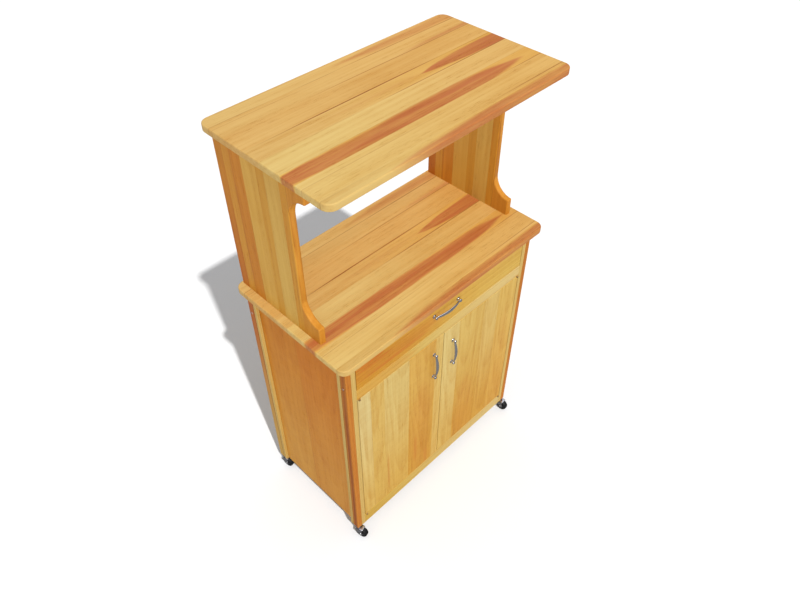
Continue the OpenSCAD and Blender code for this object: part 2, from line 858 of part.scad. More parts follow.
module caster_axle(i) {
    color(dull_steel) caster_place(i) {
        across(axle_d / 2, cheek_out + rivet_t);
        for (y = [-cheek_out - rivet_t, cheek_out])
            bar_y([trail, y, wheel_r], rivet_d / 2, rivet_t);
    }
}

// A wheel with eased shoulders and a shallow dish round the hub on each face
module caster_wheel(i) {
    bore_r = axle_d / 2 + run_fit;
    half = wheel_w / 2;
    ease = wheel_ease;
    hub_r = axle_d / 2 + hub_wall;
    rim_r = wheel_r - tread_t;
    dish = wheel_dish;
    color(black_rubber) caster_place(i) translate([trail, 0, wheel_r]) rotate([90, 0, 0])
        rotate_extrude($fn = 96) polygon([
            [bore_r, -half], [hub_r, -half], [hub_r + 1, -half + dish], [rim_r - 1, -half + dish],
            [rim_r, -half], [wheel_r - ease, -half], [wheel_r, -half + ease],
            [wheel_r, half - ease], [wheel_r - ease, half], [rim_r, half],
            [rim_r - 1, half - dish], [hub_r + 1, half - dish], [hub_r, half], [bore_r, half],
        ]);
}

// ---- Drawing

upper_top();
hutch_side(-1);  // hutch_side_left
hutch_side(1);  // hutch_side_right
hutch_dowels();
worktop();
worktop_screws();
post(-1, front_y, front_post_mid_y);  // post_front_left
post(1, front_y, front_post_mid_y);  // post_front_right
post(-1, back_post_y, back_post_mid_y);  // post_back_left
post(1, back_post_y, back_post_mid_y);  // post_back_right
side_stiles(-1);  // side_stiles_left
side_stiles(1);  // side_stiles_right
front_stile(-1);  // front_stile_left
front_stile(1);  // front_stile_right
mid_rail();
bottom_rail();
back_rails();
side_panel(-1);  // side_panel_left
side_panel(1);  // side_panel_right
back_panel();
cabinet_floor();
worktop_cleats();
top_rail();
drawer_runners();
shelf();
shelf_pins();
post_screws();
door_catch();
hinge_frame_leaves();
caster_sockets();

drawer_front();
drawer_side(-1);  // drawer_side_left
drawer_side(1);  // drawer_side_right
drawer_back();
drawer_bottom();
drawer_pull_place() pull();  // drawer_pull
drawer_pull_place() pull_screws();  // drawer_pull_screws
drawer_stop();

door(-1);  // door_left
door_pull_place(-1) pull();  // door_left_pull
door_pull_place(-1) pull_screws();  // door_left_pull_screws
door_hinge_leaves(-1);  // door_left_hinge_leaves
door_strike(-1);  // door_left_strike

door(1);  // door_right
door_pull_place(1) pull();  // door_right_pull
door_pull_place(1) pull_screws();  // door_right_pull_screws
door_hinge_leaves(1);  // door_right_hinge_leaves
door_strike(1);  // door_right_strike

caster_fork(0);  // caster_fork_front_left
caster_axle(0);  // caster_axle_front_left
caster_wheel(0);  // caster_wheel_front_left
caster_fork(1);  // caster_fork_front_right
caster_axle(1);  // caster_axle_front_right
caster_wheel(1);  // caster_wheel_front_right
caster_fork(2);  // caster_fork_back_left
caster_axle(2);  // caster_axle_back_left
caster_wheel(2);  // caster_wheel_back_left
caster_fork(3);  // caster_fork_back_right
caster_axle(3);  // caster_axle_back_right
caster_wheel(3);  // caster_wheel_back_right
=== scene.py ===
import math

import bmesh
import bpy
from mathutils import Matrix, Vector


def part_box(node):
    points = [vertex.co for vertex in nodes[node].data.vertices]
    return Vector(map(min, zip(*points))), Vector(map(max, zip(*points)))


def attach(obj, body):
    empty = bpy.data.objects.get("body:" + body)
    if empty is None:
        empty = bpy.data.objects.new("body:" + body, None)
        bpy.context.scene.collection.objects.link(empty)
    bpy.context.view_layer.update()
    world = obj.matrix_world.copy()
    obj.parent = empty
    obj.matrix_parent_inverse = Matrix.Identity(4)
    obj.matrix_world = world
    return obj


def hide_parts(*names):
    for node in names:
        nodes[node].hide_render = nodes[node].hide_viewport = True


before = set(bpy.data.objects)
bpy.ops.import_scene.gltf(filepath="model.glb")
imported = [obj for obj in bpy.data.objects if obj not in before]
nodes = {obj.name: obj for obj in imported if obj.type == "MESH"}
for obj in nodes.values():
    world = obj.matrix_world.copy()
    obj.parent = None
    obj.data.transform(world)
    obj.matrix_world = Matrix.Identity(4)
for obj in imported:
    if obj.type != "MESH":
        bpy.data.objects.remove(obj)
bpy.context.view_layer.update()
mm = 0.001
print("frame loaded,", len(nodes), "parts")


# camera, light and floor

cameraView = {
    "place": (-1.0405, -1.0488, 2.1792),
    "turn": 45.15,        # degrees from straight ahead towards the right
    "tiltDown": 45.15,
    "lens": 31.76,
}

studio = {
    "sunFrom": (-0.448, -1.305, 1.742),
    "sunStrength": 2.75,
    "floorSunStrength": 3.8,
    "sunSize": 1.2,       # degrees, softens the edge of the shadow
    "fillShare": 0.88,
    "skyTop": (0.60, 0.61, 0.63),
    "skyLow": (0.52, 0.52, 0.52),
    "mirrorTop": (1.30, 1.32, 1.38),
    "mirrorLow": (0.05, 0.05, 0.06),
    "floorSize": 30.0,
    "floorTone": 0.70,
    "floorInMetal": 0.16,  # how bright the floor is in reflections
}


def makeCamera(values):
    camera = bpy.data.objects.new("camera", bpy.data.cameras.new("camera"))
    bpy.context.scene.collection.objects.link(camera)
    camera.location = values["place"]
    camera.rotation_euler = (math.radians(90 - values["tiltDown"]), 0, -math.radians(values["turn"]))
    camera.data.lens = values["lens"]
    camera.data.sensor_width = 36
    bpy.context.scene.camera = camera


makeCamera(cameraView)
bpy.context.scene.view_settings.view_transform = "Standard"


# small helpers for shader nodes

def plug(tree, value, socket):
    if isinstance(value, bpy.types.NodeSocket):
        tree.links.new(value, socket)
    else:
        socket.default_value = value


def addNode(tree, kind, inputs=None, **settings):
    node = tree.nodes.new("ShaderNode" + kind)
    for name, value in settings.items():
        setattr(node, name, value)
    for name, value in (inputs or {}).items():
        plug(tree, value, node.inputs[name])
    return node


def calc(tree, operation, *values, clamp=False):
    node = addNode(tree, "Math", operation=operation, use_clamp=clamp)
    for place, value in enumerate(values):
        plug(tree, value, node.inputs[place])
    return node.outputs[0]


def mixColour(tree, share, first, second, blend="MIX"):
    node = addNode(tree, "Mix", {0: share, 6: first, 7: second}, data_type="RGBA", blend_type=blend)
    return node.outputs[2]


def smoothStep(tree, value, low, high):
    node = addNode(tree, "MapRange", {"Value": value, "From Min": low, "From Max": high},
                   interpolation_type="SMOOTHSTEP")
    return node.outputs["Result"]


def joinVector(tree, x, y, z):
    return addNode(tree, "CombineXYZ", {"X": x, "Y": y, "Z": z}).outputs[0]


def stretchedNoise(tree, vector, stretch, detail=2.0, roughness=0.5, distortion=0.0):
    scaled = addNode(tree, "VectorMath", {0: vector, 1: stretch}, operation="MULTIPLY").outputs[0]
    noise = addNode(tree, "TexNoise", {"Vector": scaled, "Scale": 1.0, "Detail": detail,
                                       "Roughness": roughness, "Distortion": distortion})
    return noise.outputs[0]


def rampNode(tree, share, stops, interpolation="LINEAR"):
    node = addNode(tree, "ValToRGB", {"Fac": share})
    ramp = node.color_ramp
    ramp.interpolation = interpolation
    ramp.elements.remove(ramp.elements[1])
    ramp.elements[0].position = stops[0][0]
    ramp.elements[0].color = (*stops[0][1], 1)
    for position, colour in stops[1:]:
        ramp.elements.new(position).color = (*colour, 1)
    return node.outputs["Color"]


def newGroup(name, inputs, outputs):
    tree = bpy.data.node_groups.new(name, "ShaderNodeTree")
    for label, kind, value in inputs:
        socket = tree.interface.new_socket(label, in_out="INPUT", socket_type="NodeSocket" + kind)
        if value is not None:
            socket.default_value = value
    for label, kind in outputs:
        tree.interface.new_socket(label, in_out="OUTPUT", socket_type="NodeSocket" + kind)
    return tree, tree.nodes.new("NodeGroupInput").outputs, tree.nodes.new("NodeGroupOutput").inputs


def useGroup(tree, group, inputs):
    node = addNode(tree, "Group", node_tree=group)
    for name, value in inputs.items():
        plug(tree, value, node.inputs[name])
    return node.outputs


def newMaterial(name):
    material = bpy.data.materials.new(name)
    material.use_nodes = True
    tree = material.node_tree
    tree.nodes.clear()
    shader = tree.nodes.new("ShaderNodeBsdfPrincipled")
    output = tree.nodes.new("ShaderNodeOutputMaterial")
    tree.links.new(shader.outputs[0], output.inputs["Surface"])
    return material, tree, shader.inputs


def paint(red, green, blue):
    # a colour from a 0-255 chart, made linear
    return tuple(((c / 255 + 0.055) / 1.055) ** 2.4 for c in (red, green, blue))


def solid(colour):
    return (*colour, 1.0)


# effects that several materials share

grainShares = {"middle": 0.40, "fibre": 0.42, "broad": 1.05, "cloud": 0.85, "lateMiddle": 0.25}


def makeWoodGrain(shares):
    # the vector runs along the grain, across it and through it, in metres
    tree, given, result = newGroup("woodGrain", [
        ("Vector", "Vector", None), ("Seed", "Float", 0.0), ("Ring Size", "Float", 0.006),
        ("Taper", "Float", 0.03), ("Heart Depth", "Float", 0.03), ("Scatter", "Float", 0.10),
        ("Wander", "Float", 0.010), ("Curl", "Float", 0.0), ("Rings", "Float", 0.4),
    ], [("Tone", "Float"), ("Pores", "Float"), ("Height", "Float")])
    chance = addNode(tree, "TexWhiteNoise", {"W": given["Seed"]},
                     noise_dimensions="1D").outputs["Color"]
    jitter = addNode(tree, "VectorMath", {0: chance, 1: (7.0, 1.3, 0.9)},
                     operation="MULTIPLY").outputs[0]
    vector = addNode(tree, "VectorMath", {0: given["Vector"], 1: jitter}, operation="ADD").outputs[0]
    local = addNode(tree, "SeparateXYZ", {0: given["Vector"]}).outputs
    luck = addNode(tree, "SeparateXYZ", {0: chance}).outputs
    # growth rings round a heart that lies below the face and drifts along the board
    offset = calc(tree, "MULTIPLY", calc(tree, "SUBTRACT", luck[0], 0.5), given["Scatter"])
    sideways = calc(tree, "ADD", local[1], calc(tree, "MULTIPLY", offset, 2.0))
    drift = calc(tree, "MULTIPLY", local[0], given["Taper"])
    below = calc(tree, "ADD", calc(tree, "ADD", local[2], given["Heart Depth"]), drift)
    radius = calc(tree, "SQRT", calc(tree, "ADD", calc(tree, "POWER", sideways, 2.0),
                                     calc(tree, "POWER", below, 2.0)))
    bend = calc(tree, "SUBTRACT", stretchedNoise(tree, vector, (2.4, 11, 11), detail=3.0), 0.5)
    radius = calc(tree, "ADD", radius, calc(tree, "MULTIPLY", bend, given["Wander"]))
    phase = calc(tree, "FRACT", calc(tree, "ADD", calc(tree, "DIVIDE", radius, given["Ring Size"]),
                                     calc(tree, "MULTIPLY", luck[1], 7.0)))
    late = calc(tree, "MULTIPLY", calc(tree, "POWER", phase, 2.2),
                calc(tree, "SUBTRACT", 1.0, smoothStep(tree, phase, 0.86, 1.0)))
    # fibres, broad streaks, slow clouds and curl
    fibre = stretchedNoise(tree, vector, (7, 620, 620), detail=2.0, roughness=0.6)
    broad = stretchedNoise(tree, vector, (1.7, 95, 95), detail=3.0, roughness=0.55)
    cloud = stretchedNoise(tree, vector, (2.3, 13, 13), detail=2.0)
    curl = stretchedNoise(tree, vector, (42, 13, 13), detail=1.5, distortion=1.2)
    tone = shares["middle"]
    for part, level, weight in (
            (late, shares["lateMiddle"], given["Rings"]), (fibre, 0.5, shares["fibre"]),
            (broad, 0.5, shares["broad"]), (cloud, 0.5, shares["cloud"])):
        fromLevel = calc(tree, "SUBTRACT", part, level)
        tone = calc(tree, "ADD", tone, calc(tree, "MULTIPLY", fromLevel, weight))
    curlShare = calc(tree, "MULTIPLY", calc(tree, "SUBTRACT", curl, 0.5), given["Curl"])
    tone = calc(tree, "ADD", tone, curlShare, clamp=True)
    dashes = stretchedNoise(tree, vector, (34, 1050, 1050), detail=1.0)
    pores = calc(tree, "MULTIPLY", smoothStep(tree, dashes, 0.60, 0.72),
                 smoothStep(tree, broad, 0.35, 0.65))
    height = calc(tree, "SUBTRACT", calc(tree, "MULTIPLY", fibre, 0.6),
                  calc(tree, "MULTIPLY", pores, 0.7))
    tree.links.new(tone, result["Tone"])
    tree.links.new(pores, result["Pores"])
    tree.links.new(height, result["Height"])
    return tree


def makeWoodTint():
    # light early wood to warm dark late wood round one base colour
    tree, given, result = newGroup("woodTint", [
        ("Base", "Color", (0.6, 0.4, 0.2, 1)), ("Tone", "Float", 0.5), ("Pores", "Float", 0.0),
        ("Contrast", "Float", 1.0),
    ], [("Color", "Color")])
    light = mixColour(tree, 1.0, given["Base"], (1.07, 1.11, 1.20, 1), "MULTIPLY")
    dark = mixColour(tree, 1.0, given["Base"], (0.86, 0.71, 0.50, 1), "MULTIPLY")
    centred = calc(tree, "MULTIPLY", calc(tree, "SUBTRACT", given["Tone"], 0.4), given["Contrast"])
    colour = mixColour(tree, calc(tree, "ADD", centred, 0.4, clamp=True), light, dark)
    deep = mixColour(tree, 1.0, colour, (0.70, 0.58, 0.44, 1), "MULTIPLY")
    tree.links.new(mixColour(tree, given["Pores"], colour, deep), result["Color"])
    return tree


def makeHeartStreak():
    # a lens of heartwood that runs along one strip and stops at its glue lines
    tree, given, result = newGroup("heartStreak", [
        ("Vector", "Vector", None), ("Start", "Float", -0.4), ("End", "Float", 0.4),
        ("Middle", "Float", 0.0), ("Half Width", "Float", 0.02), ("Low Edge", "Float", -1.0),
        ("High Edge", "Float", 1.0), ("Softness", "Float", 0.004), ("Strength", "Float", 1.0),
    ], [("Mask", "Float")])
    place = addNode(tree, "SeparateXYZ", {0: given["Vector"]}).outputs
    share = calc(tree, "DIVIDE", calc(tree, "SUBTRACT", place[0], given["Start"]),
                 calc(tree, "SUBTRACT", given["End"], given["Start"]))
    fromMiddle = calc(tree, "ABSOLUTE", calc(tree, "SUBTRACT", calc(tree, "MULTIPLY", share, 2.0), 1.0))
    lens = calc(tree, "SUBTRACT", 1.0, calc(tree, "POWER", fromMiddle, 4.0))
    width = calc(tree, "MULTIPLY", lens, given["Half Width"])
    wave = stretchedNoise(tree, given["Vector"], (3.2, 14, 14), detail=3.0, roughness=0.6)
    shift = calc(tree, "MULTIPLY", calc(tree, "SUBTRACT", wave, 0.5),
                 calc(tree, "MULTIPLY", given["Half Width"], 0.9))
    fromLine = calc(tree, "SUBTRACT", place[1], given["Middle"])
    across = calc(tree, "ABSOLUTE", calc(tree, "ADD", fromLine, shift))
    inside = calc(tree, "DIVIDE", calc(tree, "SUBTRACT", width, across), given["Softness"])
    mask = smoothStep(tree, inside, -0.6, 1.4)
    lowSide = smoothStep(tree, calc(tree, "SUBTRACT", place[1], given["Low Edge"]), 0.0, 0.0008)
    highSide = smoothStep(tree, calc(tree, "SUBTRACT", given["High Edge"], place[1]), 0.0, 0.0008)
    mask = calc(tree, "MULTIPLY", mask, calc(tree, "MULTIPLY", lowSide, highSide))
    mottle = stretchedNoise(tree, given["Vector"], (4, 75, 75), detail=3.0, roughness=0.6)
    uneven = calc(tree, "ADD", calc(tree, "MULTIPLY", mottle, 1.3), 0.22)
    mask = calc(tree, "MULTIPLY", mask, uneven, clamp=True)
    tree.links.new(calc(tree, "MULTIPLY", mask, given["Strength"]), result["Mask"])
    return tree


def makeEdgeWearAndHighlight():
    # where the surface turns over an edge, broken up so that it looks handled; on the woods the same
    # mask paints a highlight along the rounded edges
    tree, given, result = newGroup("edgeWearAndHighlight", [
        ("Vector", "Vector", None), ("Reach", "Float", 0.002), ("Patches", "Float", 45.0),
    ], [("Mask", "Float")])
    bevelled = addNode(tree, "Bevel", {"Radius": given["Reach"]}, samples=4).outputs[0]
    surface = addNode(tree, "NewGeometry").outputs["Normal"]
    agree = addNode(tree, "VectorMath", {0: bevelled, 1: surface},
                    operation="DOT_PRODUCT").outputs["Value"]
    edge = smoothStep(tree, calc(tree, "SUBTRACT", 1.0, agree), 0.01, 0.12)
    patches = addNode(tree, "TexNoise", {"Vector": given["Vector"], "Scale": given["Patches"],
                                         "Detail": 3.0}).outputs[0]
    tree.links.new(calc(tree, "MULTIPLY", edge, smoothStep(tree, patches, 0.35, 0.65)), result["Mask"])
    return tree


def makeHandling():
    # faint smudges and dust for roughness and colour
    tree, given, result = newGroup("handling", [
        ("Vector", "Vector", None), ("Size", "Float", 0.06),
    ], [("Smudge", "Float"), ("Dust", "Float")])
    scale = calc(tree, "DIVIDE", 1.0, given["Size"])
    smudge = addNode(tree, "TexNoise", {"Vector": given["Vector"], "Scale": scale, "Detail": 4.0,
                                        "Roughness": 0.6, "Distortion": 0.4}).outputs[0]
    fineScale = calc(tree, "MULTIPLY", scale, 18.0)
    fine = addNode(tree, "TexNoise", {"Vector": given["Vector"], "Scale": fineScale,
                                      "Detail": 3.0}).outputs[0]
    tree.links.new(smoothStep(tree, smudge, 0.40, 0.68), result["Smudge"])
    tree.links.new(calc(tree, "MULTIPLY", smoothStep(tree, smudge, 0.45, 0.75),
                        smoothStep(tree, fine, 0.45, 0.62)), result["Dust"])
    return tree


woodGrain = makeWoodGrain(grainShares)
woodTint = makeWoodTint()
heartStreak = makeHeartStreak()
edgeWearAndHighlight = makeEdgeWearAndHighlight()
handling = makeHandling()
print("shared effects ready")


# woods

honeyMaple = {
    "contrast": 1.0, "ringSize": 0.0065, "taper": 0.03, "heartDepth": 0.035, "scatter": 0.10,
    "wander": 0.012, "curl": 0.05, "rings": 0.4, "heart": paint(178, 105, 57),
    "line": paint(150, 92, 40),
    # the edge colour and its share lighten the rounded edges: partly wear, partly a painted highlight
    "roughness": 0.45, "wearColour": paint(228, 190, 112), "wear": 0.3, "bump": 0.25,
}


def grainSpace(tree, axes):
    place = addNode(tree, "TexCoord").outputs["Object"]
    split = addNode(tree, "SeparateXYZ", {0: place}).outputs
    return place, [split["XYZ".index(letter)] for letter in axes]


def stripLayout(tree, along, across, ends, low, strips):
    # each strip's colour, its chance number and its middle, and the glue lines between strips
    total = sum(width for width, *colours in strips) * mm
    share = calc(tree, "DIVIDE", calc(tree, "SUBTRACT", across, low), total)
    first, last, numbers, joints, start = [], [], [], [(0.0, (0, 0, 0))], 0.0
    for count, (width, *colours) in enumerate(strips):
        size = width * mm / total
        first.append((start, colours[0]))
        last.append((start, colours[-1]))
        numbers.append((start, ((count + 1) / (len(strips) + 1), start + size / 2, 0)))
        if count:
            line = 0.0006 / total
            joints += [(start - line, (0, 0, 0)), (start, (1, 1, 1)), (start + line, (0, 0, 0))]
        start += size
    colour = mixColour(tree, smoothStep(tree, along, *ends), rampNode(tree, share, first, "CONSTANT"),
                       rampNode(tree, share, last, "CONSTANT"))
    number = addNode(tree, "SeparateColor", {0: rampNode(tree, share, numbers, "CONSTANT")}).outputs
    local = calc(tree, "MULTIPLY", calc(tree, "SUBTRACT", share, number[1]), total)
    joint = rampNode(tree, share, joints) if len(strips) > 1 else None
    return colour, number[0], local, joint


def woodMaterial(name, axes, ends, low, strips, streaks=(), lines=(), seed=0.0, **changes):
    # axes: the letters along the grain, across it and through it
    # ends: where along the grain a strip's first and last colour are; low: where the first strip starts
    values = {**honeyMaple, **changes}
    material, tree, shader = newMaterial(name)
    place, (along, across, depth) = grainSpace(tree, axes)
    base, number, local, joint = stripLayout(tree, along, across, ends, low, strips)
    grain = useGroup(tree, woodGrain, {
        "Vector": joinVector(tree, along, local, depth), "Seed": calc(tree, "ADD", number, seed),
        "Ring Size": values["ringSize"], "Taper": values["taper"], "Heart Depth": values["heartDepth"],
        "Scatter": values["scatter"], "Wander": values["wander"], "Curl": values["curl"],
        "Rings": values["rings"],
    })
    tone = {"Tone": grain["Tone"], "Pores": grain["Pores"], "Contrast": values["contrast"]}
    colour = useGroup(tree, woodTint, {"Base": base, **tone})["Color"]
    whole = joinVector(tree, along, across, depth)
    for group, tint in ((streaks, "heart"), (lines, "line")):
        darker = useGroup(tree, woodTint, {"Base": solid(values[tint]), **tone})["Color"]
        for given in group:
            mask = useGroup(tree, heartStreak, {"Vector": whole, **given})["Mask"]
            colour = mixColour(tree, mask, colour, darker)
    if joint:
        patchy = stretchedNoise(tree, whole, (3.5, 30, 30), detail=2.0)
        line = calc(tree, "MULTIPLY", joint, smoothStep(tree, patchy, 0.42, 0.62))
        dark = mixColour(tree, 1.0, colour, (0.52, 0.38, 0.28, 1), "MULTIPLY")
        colour = mixColour(tree, calc(tree, "MULTIPLY", line, 0.85), colour, dark)
    # rounded edges are mixed towards a lighter colour: partly wear, partly a painted highlight along
    # the roundover
    edgeMask = useGroup(tree, edgeWearAndHighlight, {"Vector": place})["Mask"]
    marks = useGroup(tree, handling, {"Vector": place, "Size": 0.09})
    colour = mixColour(tree, calc(tree, "MULTIPLY", edgeMask, values["wear"]), colour,
                       solid(values["wearColour"]))
    tree.links.new(colour, shader["Base Color"])
    rough = calc(tree, "ADD", values["roughness"], calc(tree, "MULTIPLY", grain["Pores"], 0.25))
    rough = calc(tree, "ADD", rough, calc(tree, "MULTIPLY", marks["Smudge"], 0.10))
    rough = calc(tree, "ADD", rough, calc(tree, "MULTIPLY", edgeMask, 0.12))
    tree.links.new(rough, shader["Roughness"])
    bump = addNode(tree, "Bump", {"Height": grain["Height"], "Strength": values["bump"],
                                  "Distance": 0.0006})
    tree.links.new(bump.outputs[0], shader["Normal"])
    shader["Specular IOR Level"].default_value = 0.16
    shader["Coat Weight"].default_value = 0.03
    shader["Coat Roughness"].default_value = 0.25
    return material


def streak(start, end, middle, halfWidth, low, high, strength=1.0, softness=4.0):
    # millimetres in, metres out
    return {"Start": start * mm, "End": end * mm, "Middle": middle * mm,
            "Half Width": halfWidth * mm, "Low Edge": low * mm, "High Edge": high * mm,
            "Softness": softness * mm, "Strength": strength}


# widths in millimetres from the front edge to the back edge, colours at the left and right ends
boardStrips = [
    (24, paint(203, 171, 102), paint(219, 179, 94)), (73, paint(209, 178, 107), paint(206, 163, 90)),
    (48, paint(212, 172, 88), paint(206, 158, 78)), (66, paint(207, 177, 107), paint(208, 167, 96)),
    (53, paint(204, 167, 99), paint(206, 158, 76)), (72, paint(203, 162, 93), paint(205, 160, 88)),
    (53, paint(201, 161, 92), paint(210, 168, 97)), (44, paint(205, 170, 102), paint(210, 164, 90)),
]
boardStreaks = [
    streak(-570, 350, -95.5, 26.5, -119.5, -68, 1.0, 5),
    streak(99, 756, 18.5, 24, -5.5, 43, 1.0, 3),
    streak(-225, 906, -214, 25, -230, -193, 0.9, 10),
    streak(-30, 900, 192, 20, 172.5, 211, 0.55, 8),
    streak(140, 800, 126, 10, 119.5, 172.5, 0.6, 6),
    streak(-200, 120, 20, 9, -5.5, 43, 0.18, 8),
]
boardLines = [
    streak(-290, 215, 48.5, 1.9, 0, 200, 1.0, 1.0), streak(-50, 450, -5, 1.7, -100, 100, 1.0, 1.0),
    streak(-60, 600, 173.5, 1.3, 100, 250, 0.9, 1.0), streak(-160, 700, 119.5, 1.6, 0, 200, 0.9, 1.0),
    streak(-600, 60, -139, 1.0, -200, 0, 0.6, 1.0), streak(130, 700, -183.5, 1.4, -250, 0, 0.9, 1.0),
    streak(250, 600, -118.5, 1.3, -250, 0, 0.9, 1.0), streak(-600, -100, 160, 1.0, 0, 250, 0.6, 1.0),
]

# from the front of a hutch side to its back, colours at the foot and at the head
hutchStrips = [
    (58, paint(200, 136, 46)), (23, paint(201, 142, 48)), (52, paint(204, 162, 77)),
    (28, paint(199, 145, 53)), (55, paint(207, 160, 70)), (42, paint(199, 129, 39)),
    (28, paint(202, 141, 49)), (30, paint(187, 109, 30), paint(198, 132, 43)),
]

doorLeftStrips = [
    (44, paint(199, 162, 80), paint(202, 181, 120)), (50, paint(197, 158, 73), paint(201, 168, 90)),
    (98, paint(197, 156, 70), paint(201, 175, 105)), (109, paint(195, 147, 52), paint(199, 156, 72)),
    (32, paint(202, 166, 86), paint(203, 172, 96)),
]
doorRightStrips = [
    (67, paint(198, 160, 79), paint(203, 179, 111)), (113, paint(193, 143, 50), paint(198, 164, 85)),
    (68, paint(195, 145, 54), paint(201, 171, 98)), (85, paint(203, 158, 68), paint(200, 164, 82)),
]


def plain(*colours):
    return [(2000, *colours)]


def makeWoods():
    boardLow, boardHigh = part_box("worktop")
    hutchLow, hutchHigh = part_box("hutch_side_left")
    doorLow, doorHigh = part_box("door_left")
    drawerLow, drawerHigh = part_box("drawer_front")
    low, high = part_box("post_front_left")
    panelLow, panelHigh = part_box("side_panel_left")
    length = (boardLow.x, boardHigh.x)
    doorEnds = (doorLow.z, doorHigh.z)
    woods = {}
    woods["block"] = woodMaterial(
        "butcherBlock", "XYZ", length, boardLow.y, boardStrips, boardStreaks, boardLines,
        heartDepth=0.02, rings=0.12, wear=0.14)
    # the hutch sides' rounded edges are painted much lighter: a painted highlight along the bright
    # front edge, partly wear
    woods["hutch"] = woodMaterial(
        "hutchMaple", "ZYX", (hutchLow.z, hutchHigh.z), hutchLow.y, hutchStrips,
        lines=[streak(-300, 2400, 147.5, 1.2, 0, 300, 0.7, 1.2)],
        seed=3.1, contrast=0.9, rings=0.2, wear=0.6, wearColour=paint(236, 180, 92))
    woods["doorLeft"] = woodMaterial(
        "doorMapleLeft", "ZXY", doorEnds, doorLow.x, doorLeftStrips,
        [streak(-100, 560, -88, 60, -142, -33, 0.25, 30), streak(150, 300, -110, 9, -142, -33, 0.5, 9),
         streak(90, 190, -60, 10, -142, -33, 0.45, 9), streak(120, 330, -228, 5, -290, -142, 0.45, 5)],
        seed=5.3, scatter=0.05, curl=0.38, heart=paint(186, 104, 34))
    woods["doorRight"] = woodMaterial(
        "doorMapleRight", "ZXY", doorEnds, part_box("door_right")[0].x, doorRightStrips,
        [streak(-250, 420, 125, 60, 68, 181, 0.25, 30), streak(-200, 600, 290, 55, 249, 334, 0.2, 30)],
        seed=7.7, scatter=0.03, curl=0.25, heart=paint(186, 108, 38))
    woods["drawerFront"] = woodMaterial(
        "drawerMaple", "XZY", (drawerLow.x, drawerHigh.x), 0.0,
        plain(paint(193, 140, 37), paint(200, 164, 75)),
        [streak(-345, -230, 815, 9, 700, 900, 0.6, 5), streak(-340, -200, 800, 7, 700, 900, 0.55, 4),
         streak(-330, -60, 765, 9, 700, 900, 0.45, 7), streak(-420, 20, 780, 40, 700, 900, 0.3, 25)],
        seed=2.2, curl=0.4, heart=paint(186, 92, 28))
    woods["rail"] = woodMaterial(
        "railMaple", "XZY", (drawerLow.x, drawerHigh.x), 0.0,
        plain(paint(194, 159, 68), paint(204, 178, 113)),
        [streak(-600, -100, 718, 40, 690, 760, 0.4, 20)], seed=4.6, heart=paint(200, 126, 46))
    woods["stile"] = woodMaterial("stileMaple", "ZXY", (low.z, high.z), -0.5,
                                  plain(paint(195, 164, 91)), seed=6.4)
    sideLines = [streak(-400, 1500, -170, 1.6, -172, -160, 0.8, 1.5),
                 streak(-400, 1500, 187, 1.6, 180, 189, 0.8, 1.5)]
    # the edge colour paints the posts' rounded corners orange: a painted highlight, partly wear
    grain = {"contrast": 1.25, "ringSize": 0.004, "line": paint(92, 44, 20),
             "wearColour": paint(204, 120, 50)}
    woods["postFront"] = woodMaterial(
        "postCherryFront", "ZYX", (low.z, high.z), -0.5, plain(paint(184, 114, 34)),
        [streak(-300, 1400, -181, 7, -300, 0, 0.85, 5)], sideLines,
        seed=8.8, heart=paint(140, 66, 26), **grain)
    woods["postBack"] = woodMaterial(
        "postCherryBack", "ZYX", (low.z, high.z), -0.5, plain(paint(196, 158, 76), paint(178, 96, 36)),
        (), sideLines, seed=9.9, **grain)
    woods["sidePanel"] = woodMaterial(
        "sidePanelVeneer", "ZYX", (panelLow.z, panelHigh.z), panelLow.y,
        [(180, paint(205, 144, 57), paint(199, 120, 28)),
         (160, paint(206, 149, 61), paint(199, 126, 33)),
         (120, paint(210, 160, 70), paint(205, 139, 40))],
        seed=9.2, contrast=0.8, curl=0.5, scatter=0.05, ringSize=0.011, wander=0.03)
    for key, name, axes, seed, extra in (
            ("inner", "innerMaple", "YXZ", 1.7, {"roughness": 0.55}),
            ("innerAcross", "innerMapleAcross", "XYZ", 2.7, {"roughness": 0.55}),
            ("plywood", "plywoodVeneer", "ZXY", 3.9,
             {"roughness": 0.6, "ringSize": 0.02, "wander": 0.06}),
            ("dowel", "dowelBirch", "ZXY", 4.1, {"roughness": 0.6})):
        woods[key] = woodMaterial(name, axes, (-0.5, 0.5), -0.5, plain(paint(214, 180, 118)),
                                  seed=seed, **extra)
    return woods


woods = makeWoods()
print("woods ready:", len(woods))


# metals, rubber and plastic

def metalMaterial(name, colour, roughness, brush=0.0, tarnish=(0.5, 0.45, 0.38)):
    material, tree, shader = newMaterial(name)
    place = addNode(tree, "TexCoord").outputs["Object"]
    marks = useGroup(tree, handling, {"Vector": place, "Size": 0.012})
    edgeMask = useGroup(tree, edgeWearAndHighlight, {"Vector": place, "Reach": 0.0006, "Patches": 400.0})["Mask"]
    lines = stretchedNoise(tree, place, (900, 900, 120), detail=2.0)
    tone = mixColour(tree, calc(tree, "MULTIPLY", marks["Smudge"], 0.22), solid(colour), solid(tarnish))
    tone = mixColour(tree, calc(tree, "MULTIPLY", edgeMask, 0.5), tone, (0.95, 0.95, 0.95, 1))
    tree.links.new(tone, shader["Base Color"])
    rough = calc(tree, "ADD", roughness, calc(tree, "MULTIPLY", marks["Smudge"], 0.12))
    rough = calc(tree, "ADD", rough, calc(tree, "MULTIPLY", lines, brush))
    tree.links.new(rough, shader["Roughness"])
    bump = addNode(tree, "Bump", {"Height": lines, "Strength": 0.05 + brush, "Distance": 0.0001})
    tree.links.new(bump.outputs[0], shader["Normal"])
    shader["Metallic"].default_value = 1.0
    return material


